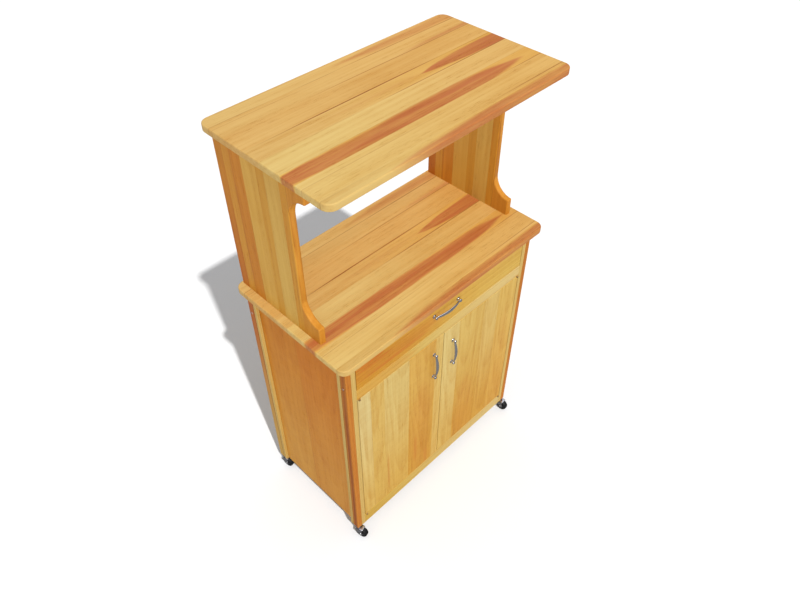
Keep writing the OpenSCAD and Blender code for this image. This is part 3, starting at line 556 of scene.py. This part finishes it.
def mouldedMaterial(name, colour, roughness, dusty, grainSize):
    material, tree, shader = newMaterial(name)
    place = addNode(tree, "TexCoord").outputs["Object"]
    marks = useGroup(tree, handling, {"Vector": place, "Size": 0.02})
    edgeMask = useGroup(tree, edgeWearAndHighlight, {"Vector": place, "Reach": 0.0008, "Patches": 300.0})["Mask"]
    skin = addNode(tree, "TexVoronoi", {"Vector": place, "Scale": 1 / grainSize}).outputs["Distance"]
    tone = mixColour(tree, calc(tree, "MULTIPLY", marks["Dust"], dusty), solid(colour),
                     (0.30, 0.27, 0.23, 1))
    tone = mixColour(tree, calc(tree, "MULTIPLY", edgeMask, 0.25), tone, (0.08, 0.08, 0.08, 1))
    tree.links.new(tone, shader["Base Color"])
    rough = calc(tree, "ADD", roughness, calc(tree, "MULTIPLY", marks["Smudge"], 0.15))
    tree.links.new(rough, shader["Roughness"])
    bump = addNode(tree, "Bump", {"Height": skin, "Strength": 0.25, "Distance": 0.0002})
    tree.links.new(bump.outputs[0], shader["Normal"])
    shader["Specular IOR Level"].default_value = 0.25
    return material


chrome = metalMaterial("pullChrome", (0.68, 0.67, 0.70), 0.10)
brass = metalMaterial("agedBrass", (0.62, 0.43, 0.18), 0.42, 0.08, (0.40, 0.26, 0.10))
zinc = metalMaterial("casterZinc", (0.46, 0.46, 0.49), 0.18, 0.06)
steel = metalMaterial("brushedSteel", (0.60, 0.59, 0.57), 0.30, 0.12)
copperSteel = metalMaterial("copperedScrew", (0.78, 0.52, 0.40), 0.28, 0.05)
rubber = mouldedMaterial("wheelRubber", (0.006, 0.006, 0.007), 0.55, 0.10, 0.0009)
hubPlastic = mouldedMaterial("hubPlastic", (0.014, 0.014, 0.015), 0.38, 0.10, 0.0006)
catchPlastic = mouldedMaterial("catchPlastic", (0.10, 0.055, 0.03), 0.45, 0.3, 0.0007)
print("metals and moulded finishes ready")


# small helpers for meshes

def finishPiece(name, mesh, materials, body, replaced=(), smoothAngle=40):
    bmesh.ops.remove_doubles(mesh, verts=mesh.verts, dist=1e-6)
    bmesh.ops.recalc_face_normals(mesh, faces=mesh.faces)
    data = bpy.data.meshes.new(name)
    mesh.to_mesh(data)
    mesh.free()
    data.shade_smooth()
    data.set_sharp_from_angle(angle=math.radians(smoothAngle))
    for material in materials:
        data.materials.append(material)
    piece = bpy.data.objects.new(name, data)
    bpy.context.scene.collection.objects.link(piece)
    piece.modifiers.new("evenNormals", "WEIGHTED_NORMAL").keep_sharp = True
    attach(piece, body)
    if replaced:
        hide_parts(*replaced)
    return piece


def loft(mesh, rings):
    rows = [[mesh.verts.new(point) for point in ring] for ring in rings]
    for first, second in zip(rows, rows[1:]):
        for i in range(len(first)):
            j = (i + 1) % len(first)
            mesh.faces.new((first[i], first[j], second[j], second[i]))
    mesh.faces.new(reversed(rows[0]))
    mesh.faces.new(rows[-1])


def turned(mesh, profile, steps, place, closed=False, materialOf=None):
    # a lathe shape round local Z; profile points are (radius, height)
    rows = []
    for radius, height in profile:
        count = steps if radius > 1e-7 else 1
        angles = [2 * math.pi * i / count for i in range(count)]
        rows.append([mesh.verts.new(place @ Vector((radius * math.cos(angle), radius * math.sin(angle),
                                                    height)))
                     for angle in angles])
    pairs = list(zip(range(len(rows)), range(1, len(rows))))
    if closed:
        pairs.append((len(rows) - 1, 0))
    for a, b in pairs:
        for i in range(steps):
            j = (i + 1) % steps
            first, second = rows[a], rows[b]
            corners = dict.fromkeys([first[i % len(first)], first[j % len(first)],
                                     second[j % len(second)], second[i % len(second)]])
            if len(corners) > 2:
                face = mesh.faces.new(list(corners))
                if materialOf:
                    face.material_index = materialOf((profile[a][0] + profile[b][0]) / 2)


def rounded(points, radius, steps=4):
    # a flat path whose inner corners are replaced by arcs
    path = [Vector(points[0])]
    for before, corner, after in zip(points, points[1:], points[2:]):
        corner = Vector(corner)
        toBefore, toAfter = Vector(before) - corner, Vector(after) - corner
        reach = min(radius, toBefore.length * 0.45, toAfter.length * 0.45)
        start = corner + toBefore.normalized() * reach
        end = corner + toAfter.normalized() * reach
        for i in range(steps + 1):
            t = i / steps
            path.append((1 - t) ** 2 * start + 2 * t * (1 - t) * corner + t ** 2 * end)
    path.append(Vector(points[-1]))
    return path


def easeEdges(mesh, width, steps=3, minAngle=30, keep=None):
    mesh.normal_update()
    edges = [e for e in mesh.edges if len(e.link_faces) == 2
             and e.calc_face_angle() > math.radians(minAngle) and not (keep and keep(e))]
    bmesh.ops.bevel(mesh, geom=edges, offset=width, segments=steps, profile=0.5,
                    affect="EDGES", clamp_overlap=True)


def addBox(mesh, low, high):
    x, y, z = zip(low, high)
    corners = [mesh.verts.new((x[i], y[j], z[k])) for i in (0, 1) for j in (0, 1) for k in (0, 1)]
    for face in ((0, 1, 3, 2), (4, 6, 7, 5), (0, 4, 5, 1), (2, 3, 7, 6), (0, 2, 6, 4), (1, 5, 7, 3)):
        mesh.faces.new([corners[i] for i in face])


def easedBar(node, ease, material, body):
    mesh = bmesh.new()
    addBox(mesh, *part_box(node))
    easeEdges(mesh, ease)
    return finishPiece(node + "_wood", mesh, [material], body, [node])


# boards and hutch sides

boardShape = {
    "cornerRadius": 0.025, "topRound": 0.0032, "lowRound": 0.0026, "roundSteps": 5, "cornerSteps": 10,
}


def roundedRectangle(halfX, halfY, radius, steps):
    points = []
    for quarter, (sx, sy) in enumerate(((1, 1), (-1, 1), (-1, -1), (1, -1))):
        for i in range(steps + 1):
            angle = (quarter + i / steps) * math.pi / 2
            points.append((sx * (halfX - radius) + radius * math.cos(angle),
                           sy * (halfY - radius) + radius * math.sin(angle)))
    return points


def makeBoard(name, node, values):
    low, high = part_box(node)
    middle, half = (low + high) / 2, (high - low) / 2
    lowRound, topRound, steps = values["lowRound"], values["topRound"], values["roundSteps"]
    levels = []
    for i in range(steps + 1):
        turn = i / steps * math.pi / 2
        levels.append((lowRound * (1 - math.sin(turn)), low.z + lowRound * (1 - math.cos(turn))))
    for i in range(steps + 1):
        turn = (1 - i / steps) * math.pi / 2
        levels.append((topRound * (1 - math.sin(turn)), high.z - topRound * (1 - math.cos(turn))))
    rings = []
    for inset, z in levels:
        outline = roundedRectangle(half.x - inset, half.y - inset, values["cornerRadius"] - inset,
                                   values["cornerSteps"])
        rings.append([(middle.x + x, middle.y + y, z) for x, y in outline])
    mesh = bmesh.new()
    loft(mesh, rings)
    return finishPiece(name, mesh, [woods["block"]], "cabinet", [node], 60)


hutchShape = {"footHeight": 0.052, "coveRadius": 0.0575, "edgeRound": 0.0042, "coveSteps": 14}


def makeHutchSide(name, node, values):
    low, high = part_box(node)
    foot, cove, steps = values["footHeight"], values["coveRadius"], values["coveSteps"]
    lower = [(low.y + cove * math.sin(a), low.z + foot + cove * (1 - math.cos(a)))
             for a in (i / steps * math.pi / 2 for i in range(steps + 1))]
    upper = [(y, high.z + low.z - z) for y, z in reversed(lower)]
    outline = [(high.y, low.z), (low.y, low.z), *lower, *upper, (low.y, high.z), (high.y, high.z)]
    mesh = bmesh.new()
    loft(mesh, [[(x, y, z) for y, z in outline] for x in (low.x, high.x)])
    easeEdges(mesh, values["edgeRound"], 4, keep=lambda e: all(
        min(abs(v.co.z - low.z), abs(v.co.z - high.z)) < 1e-5 for v in e.verts))
    return finishPiece(name, mesh, [woods["hutch"]], "cabinet", [node], 50)


makeBoard("worktop_board", "worktop", boardShape)
makeBoard("upper_board", "upper_top", boardShape)
makeHutchSide("hutch_left_side", "hutch_side_left", hutchShape)
makeHutchSide("hutch_right_side", "hutch_side_right", hutchShape)
print("boards and hutch sides built")


# cabinet, drawer front and doors

easing = {"post": 0.0016, "stile": 0.0010, "door": 0.0016, "drawerFront": 0.0018}

for corner in ("front_left", "front_right", "back_left", "back_right"):
    postWood = woods["post" + corner.split("_")[0].title()]
    easedBar("post_" + corner, easing["post"], postWood, "cabinet")
for side in ("left", "right"):
    easedBar("front_stile_" + side, easing["stile"], woods["stile"], "cabinet")
    easedBar("door_" + side, easing["door"], woods["door" + side.title()], "door_" + side)
easedBar("drawer_front", easing["drawerFront"], woods["drawerFront"], "drawer")
print("posts, stiles, doors and drawer front built")


# pulls: local X along the pull, Y into the front, Z across

pullShape = {
    "pitch": 0.096, "bowMiddle": (0.0060, 0.0034), "bowEnd": (0.0024, 0.0021), "bowFoot": 0.0070,
    "baseRadius": 0.0065, "neckRadius": 0.0034, "beadRadius": 0.0058, "footHeight": 0.0134,
    "stations": 36, "sides": 20, "turnSteps": 32,
}


def makePull(name, node, body, upright, values):
    low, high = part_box(node)
    middle = (low + high) / 2
    place = Matrix.Translation((middle.x, high.y, middle.z))
    if upright:
        place = place @ Matrix.Rotation(math.radians(90), 4, "Y")
    mesh = bmesh.new()
    half = values["pitch"] / 2
    rise = high.y - low.y - values["bowMiddle"][1] - values["bowFoot"]
    bend = (half ** 2 + rise ** 2) / (2 * rise)
    turn = math.asin(half / bend)
    rings = []
    for i in range(values["stations"] + 1):
        t = 2 * i / values["stations"] - 1
        swell = max(math.cos(t * math.pi / 2), 0) ** 0.7
        wide = values["bowEnd"][0] + (values["bowMiddle"][0] - values["bowEnd"][0]) * swell
        thick = values["bowEnd"][1] + (values["bowMiddle"][1] - values["bowEnd"][1]) * swell
        angle = t * turn
        out = Vector((math.sin(angle), -math.cos(angle), 0))
        centre = Vector((0, bend - values["bowFoot"] - rise, 0)) + out * bend
        rings.append([place @ (centre + out * thick * math.cos(a) + Vector((0, 0, wide * math.sin(a))))
                      for a in (2 * math.pi * k / values["sides"] for k in range(values["sides"]))])
    loft(mesh, rings)
    base, neck, bead = values["baseRadius"], values["neckRadius"], values["beadRadius"]
    top = values["footHeight"]
    profile = rounded([
        (0, 0), (base, 0), (base, 0.0014), (base - 0.0016, 0.0022), (neck, 0.0036), (neck, 0.0044),
        (bead - 0.0008, 0.0054), (bead, top - 0.0048), (bead - 0.0010, top - 0.0018),
        (bead * 0.5, top - 0.0003), (0, top)], 0.0012)
    for x in (-half, half):
        outward = place @ Matrix.Translation((x, 0, 0)) @ Matrix.Rotation(math.radians(90), 4, "X")
        turned(mesh, profile, values["turnSteps"], outward)
    return finishPiece(name, mesh, [chrome], body, [node], 50)


makePull("drawer_bow_pull", "drawer_pull", "drawer", False, pullShape)
makePull("door_left_bow_pull", "door_left_pull", "door_left", True, pullShape)
makePull("door_right_bow_pull", "door_right_pull", "door_right", True, pullShape)
print("pulls built")


# screws with domed heads and a cross recess

def addScrewHead(mesh, place, radius, height):
    # the head stands up from local Z = 0
    crown = radius * 0.62
    turned(mesh, rounded([(0, 0), (radius, 0), (radius, height * 0.45), (radius * 0.86, height * 0.85),
                          (crown, height)], radius * 0.2), 32, place)
    rim = [v for v in mesh.verts if not v.tag and abs((place.inverted() @ v.co).z - height) < 1e-7]
    arm, thin = radius * 0.50, radius * 0.13
    outline = [(arm, -thin), (arm, thin), (thin, thin), (thin, arm), (-thin, arm), (-thin, thin),
               (-arm, thin), (-arm, -thin), (-thin, -thin), (-thin, -arm), (thin, -arm), (thin, -thin)]
    top = [mesh.verts.new(place @ Vector((x, y, height))) for x, y in outline]
    floor = [mesh.verts.new(place @ Vector((x * 0.55, y * 0.55, height * 0.35))) for x, y in outline]
    edges = [mesh.edges.new((top[i], top[(i + 1) % 12])) for i in range(12)]
    for i in range(12):
        j = (i + 1) % 12
        mesh.faces.new((top[i], top[j], floor[j], floor[i]))
    mesh.faces.new(floor)
    edges += [e for v in rim for e in v.link_edges if e.other_vert(v) in rim]
    bmesh.ops.triangle_fill(mesh, use_beauty=True, edges=list(set(edges)))
    for vert in mesh.verts:
        vert.tag = True


screwShape = {"postHeadHeight": 0.0012, "headRadius": 0.004, "pullHeadHeight": 0.0022}


def makePostScrews(values):
    low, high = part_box("post_screws")
    mesh = bmesh.new()
    for side, x in ((-1, low.x), (1, high.x)):
        for y in (low.y + values["headRadius"], high.y - values["headRadius"]):
            place = Matrix.Translation((x - side * values["postHeadHeight"], y, (low.z + high.z) / 2))
            place = place @ Matrix.Rotation(side * math.radians(90), 4, "Y")
            addScrewHead(mesh, place, values["headRadius"], values["postHeadHeight"])
    return finishPiece("post_screw_heads", mesh, [copperSteel], "cabinet", ["post_screws"], 30)


def makePullScrews(node, body, values):
    low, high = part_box(node)
    radius, height = values["headRadius"], values["pullHeadHeight"]
    mesh = bmesh.new()
    upright = high.z - low.z > high.x - low.x
    ends = ((low.z + radius, high.z - radius) if upright else (low.x + radius, high.x - radius))
    for end in ends:
        x, z = ((low.x + high.x) / 2, end) if upright else (end, (low.z + high.z) / 2)
        place = Matrix.Translation((x, high.y - height, z)) @ Matrix.Rotation(-math.radians(90), 4, "X")
        addScrewHead(mesh, place, radius, height)
    return finishPiece(node + "_heads", mesh, [steel], body, [node], 30)


makePostScrews(screwShape)
makePullScrews("drawer_pull_screws", "drawer", screwShape)
for side in ("left", "right"):
    makePullScrews("door_" + side + "_pull_screws", "door_" + side, screwShape)
print("screws built")


# casters: local Z up the swivel axis, the wheel towards local X

casterShape = {
    "cheekOut": 0.0116, "plate": 0.0016, "hoodGap": 0.0018, "shoulder": 0.0032,
    "hoodFrom": 75, "hoodTo": 168, "hoodSteps": 26, "lugRadius": 0.0075,
    "stemRadius": 0.004, "raceRadius": 0.009, "cheekStart": 0.004, "collarGap": 0.0015, "steps": 40,
    # heights of the race's steps above the floor
    "raceHeights": (0.034, 0.045, 0.047, 0.050, 0.0508, 0.0522, 0.053),
}


def casterPlace(corner):
    # the swivel axis stands under the post's middle, and the axle shows which way the caster points;
    # the hub's local Z runs along the axle
    low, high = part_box("post_" + corner)
    axis = (low + high) / 2
    low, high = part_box("caster_axle_" + corner)
    centre = (low + high) / 2
    turn = math.atan2(centre.y - axis.y, centre.x - axis.x)
    trail = math.hypot(centre.y - axis.y, centre.x - axis.x)
    place = Matrix.Translation((axis.x, axis.y, 0)) @ Matrix.Rotation(turn, 4, "Z")
    hub = place @ Matrix.Translation((trail, 0, centre.z)) @ Matrix.Rotation(math.radians(90), 4, "X")
    return place, hub, centre.z


def makeFork(corner, values):
    place, hub, radius = casterPlace(corner)
    mesh = bmesh.new()
    cheek, plate, start = values["cheekOut"], values["plate"], values["cheekStart"]
    crown = radius + values["hoodGap"] + plate
    outer = rounded([(start, cheek), (crown, cheek), (crown, -cheek), (start, -cheek)],
                    values["shoulder"] * 2, 6)
    inner = rounded([(start, cheek - plate), (crown - plate, cheek - plate),
                     (crown - plate, plate - cheek), (start, plate - cheek)],
                    values["shoulder"] * 1.4, 6)
    section = outer + inner[::-1]
    sweep = values["hoodTo"] - values["hoodFrom"]
    rings = []
    for i in range(values["hoodSteps"] + 1):
        angle = math.radians(values["hoodFrom"] + sweep * i / values["hoodSteps"])
        rings.append([hub @ Vector((r * math.cos(angle), r * math.sin(angle), a)) for r, a in section])
    loft(mesh, rings)
    lug = values["lugRadius"]
    for side in (-1, 1):
        turned(mesh, rounded([(0, side * (cheek - plate)), (lug, side * (cheek - plate)),
                              (lug, side * cheek), (0, side * cheek)], 0.0005), values["steps"], hub)
    easeEdges(mesh, 0.0003, 2, 55)
    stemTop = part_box("caster_fork_" + corner)[1].z
    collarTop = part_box("post_" + corner)[0].z - values["collarGap"]
    race, stem, heights = values["raceRadius"], values["stemRadius"], values["raceHeights"]
    profile = rounded([
        (0, heights[0]), (race - 0.0015, heights[0]), (race - 0.001, heights[1]), (race, heights[2]),
        (race, heights[3]), (race - 0.0012, heights[4]), (race - 0.0012, heights[5]),
        (race, heights[6]), (race, collarTop - 0.0018), (race - 0.0015, collarTop),
        (stem, collarTop), (stem, stemTop), (0, stemTop)], 0.0008)
    turned(mesh, profile, values["steps"], place)
    return finishPiece("caster_hood_" + corner, mesh, [zinc], "caster_" + corner,
                       ["caster_fork_" + corner], 35)


wheelShape = {
    "halfWidth": 0.009, "bore": 0.00255, "hub": 0.0055, "rim": 0.0152, "dish": 0.0016, "steps": 72,
}


def makeWheel(corner, values):
    hub, radius = casterPlace(corner)[1:]
    half, dish, rim = values["halfWidth"], values["dish"], values["rim"]
    side = [(values["bore"], half), (values["hub"], half), (values["hub"] + 0.0008, half - dish),
            (rim - 0.0010, half - dish), (rim, half - 0.0002), (rim + 0.0004, half - 0.0006),
            (rim + 0.0008, half), (radius - 0.0026, half - 0.0002), (radius - 0.0008, half - 0.0022),
            (radius - 0.0001, half - 0.0046), (radius, 0.0030), (radius - 0.0004, 0.0027),
            (radius - 0.0004, 0.0021), (radius, 0.0018)]
    loop = side + [(r, -a) for r, a in reversed(side)]
    path = rounded(loop, 0.0009, 3)
    mesh = bmesh.new()
    turned(mesh, path, values["steps"], hub, closed=True,
           materialOf=lambda r: 0 if r > rim + 0.0003 else 1)
    return finishPiece("caster_tyre_" + corner, mesh, [rubber, hubPlastic], "wheel_" + corner,
                       ["caster_wheel_" + corner], 45)


def makeAxle(corner, values):
    hub = casterPlace(corner)[1]
    out = values["cheekOut"]
    end = [(0.0025, out), (0.0040, out), (0.0040, out + 0.0004), (0.0030, out + 0.0010),
           (0.0012, out + 0.0012), (0.0010, out + 0.0007), (0, out + 0.0007)]
    profile = [(r, -a) for r, a in reversed(end)] + end
    mesh = bmesh.new()
    turned(mesh, profile, values["steps"], hub)
    return finishPiece("caster_rivet_" + corner, mesh, [steel], "caster_" + corner,
                       ["caster_axle_" + corner], 35)


for corner in ("front_left", "front_right", "back_left", "back_right"):
    makeFork(corner, casterShape)
    makeWheel(corner, wheelShape)
    makeAxle(corner, casterShape)
print("casters built")


# parts that keep their own shape: a finish and softened edges

kept = {
    "stile": (["side_stiles_left", "side_stiles_right"], 0.0009),
    "rail": (["mid_rail", "bottom_rail"], 0.0009),
    "sidePanel": (["side_panel_left", "side_panel_right"], 0),
    "inner": (["shelf", "drawer_side_left", "drawer_side_right", "drawer_runners"], 0.0008),
    "innerAcross": (["drawer_back", "drawer_stop", "back_rails", "top_rail"], 0),
    "plywood": (["back_panel", "drawer_bottom", "cabinet_floor"], 0.0004),
    "dowel": (["hutch_dowels"], 0),
}


def dressNode(name, material, ease):
    node = nodes[name]
    if not node.material_slots:
        node.data.materials.append(material)
    for place in node.material_slots:
        place.material = material
    weld = node.modifiers.new("weld", "WELD")
    weld.merge_threshold = 1e-5
    if ease:
        bevel = node.modifiers.new("ease", "BEVEL")
        bevel.width = ease
        bevel.segments = 2
        bevel.limit_method = "ANGLE"
        bevel.angle_limit = math.radians(40)
    node.modifiers.new("evenNormals", "WEIGHTED_NORMAL").keep_sharp = True


for wood, (names, ease) in kept.items():
    for name in names:
        dressNode(name, woods[wood], ease)
dressNode("worktop_cleats", woods["inner"], 0)
dressNode("door_catch", catchPlastic, 0.0008)
for name in ("hinge_frame_leaves", "door_left_hinge_leaves", "door_right_hinge_leaves"):
    dressNode(name, brass, 0)
for name in ("shelf_pins", "caster_sockets", "worktop_screws"):
    dressNode(name, steel, 0)
for name in ("door_left_strike", "door_right_strike"):
    dressNode(name, steel, 0.0002)
print("kept parts finished")


# studio

def makeStudio(values):
    mesh = bmesh.new()
    half = values["floorSize"] / 2
    mesh.faces.new([mesh.verts.new((x * half, y * half, 0))
                    for x, y in ((-1, -1), (1, -1), (1, 1), (-1, 1))])
    data = bpy.data.meshes.new("floor")
    mesh.to_mesh(data)
    mesh.free()
    material, tree, shader = newMaterial("paleFloor")
    place = addNode(tree, "TexCoord").outputs["Object"]
    tone = values["floorTone"]
    cloud = addNode(tree, "TexNoise", {"Vector": place, "Scale": 1.5, "Detail": 2.0}).outputs[0]
    pale = mixColour(tree, cloud, (tone, tone, tone, 1), (tone * 0.98, tone * 0.98, tone * 0.98, 1))
    mirrored = addNode(tree, "LightPath").outputs["Is Glossy Ray"]
    dim = solid((values["floorInMetal"],) * 3)
    tree.links.new(mixColour(tree, mirrored, pale, dim), shader["Base Color"])
    shader["Roughness"].default_value = 0.9
    data.materials.append(material)
    floor = bpy.data.objects.new("floor", data)
    bpy.context.scene.collection.objects.link(floor)

    # the floor takes the whole shadow, the object's own shadows are softened by a fill
    strength, fill = values["sunStrength"], values["fillShare"]
    for name, energy, shadows, state in (("floorSun", values["floorSunStrength"], True, "INCLUDE"),
                                         ("keySun", strength * (1 - fill), True, "EXCLUDE"),
                                         ("fillSun", strength * fill, False, "EXCLUDE")):
        lamp = bpy.data.lights.new(name, "SUN")
        lamp.energy = energy
        lamp.angle = math.radians(values["sunSize"])
        lamp.use_shadow = shadows
        sun = bpy.data.objects.new(name, lamp)
        sun.rotation_euler = Vector(values["sunFrom"]).to_track_quat("Z", "Y").to_euler()
        bpy.context.scene.collection.objects.link(sun)
        lit = bpy.data.collections.new(name + "Lights")
        lit.objects.link(floor)
        lit.collection_objects[0].light_linking.link_state = state
        sun.light_linking.receiver_collection = lit

    world = bpy.data.worlds.new("studio")
    world.use_nodes = True
    bpy.context.scene.world = world
    tree = world.node_tree
    tree.nodes.clear()
    direction = addNode(tree, "TexCoord").outputs["Generated"]
    up = addNode(tree, "SeparateXYZ", {0: direction}).outputs[2]
    sky = mixColour(tree, smoothStep(tree, up, 0.0, 0.9), solid(values["skyLow"]),
                    solid(values["skyTop"]))
    # reflections see a studio with dark walls, so that the curves of bright metal stand out
    mirror = mixColour(tree, smoothStep(tree, up, 0.35, 0.75), solid(values["mirrorLow"]),
                       solid(values["mirrorTop"]))
    glossy = addNode(tree, "LightPath").outputs["Is Glossy Ray"]
    seen = addNode(tree, "LightPath").outputs["Is Camera Ray"]
    colour = mixColour(tree, seen, mixColour(tree, glossy, sky, mirror), (1, 1, 1, 1))
    background = addNode(tree, "Background", {"Color": colour, "Strength": 1.0})
    output = tree.nodes.new("ShaderNodeOutputWorld")
    tree.links.new(background.outputs[0], output.inputs["Surface"])


makeStudio(studio)
print("studio ready")
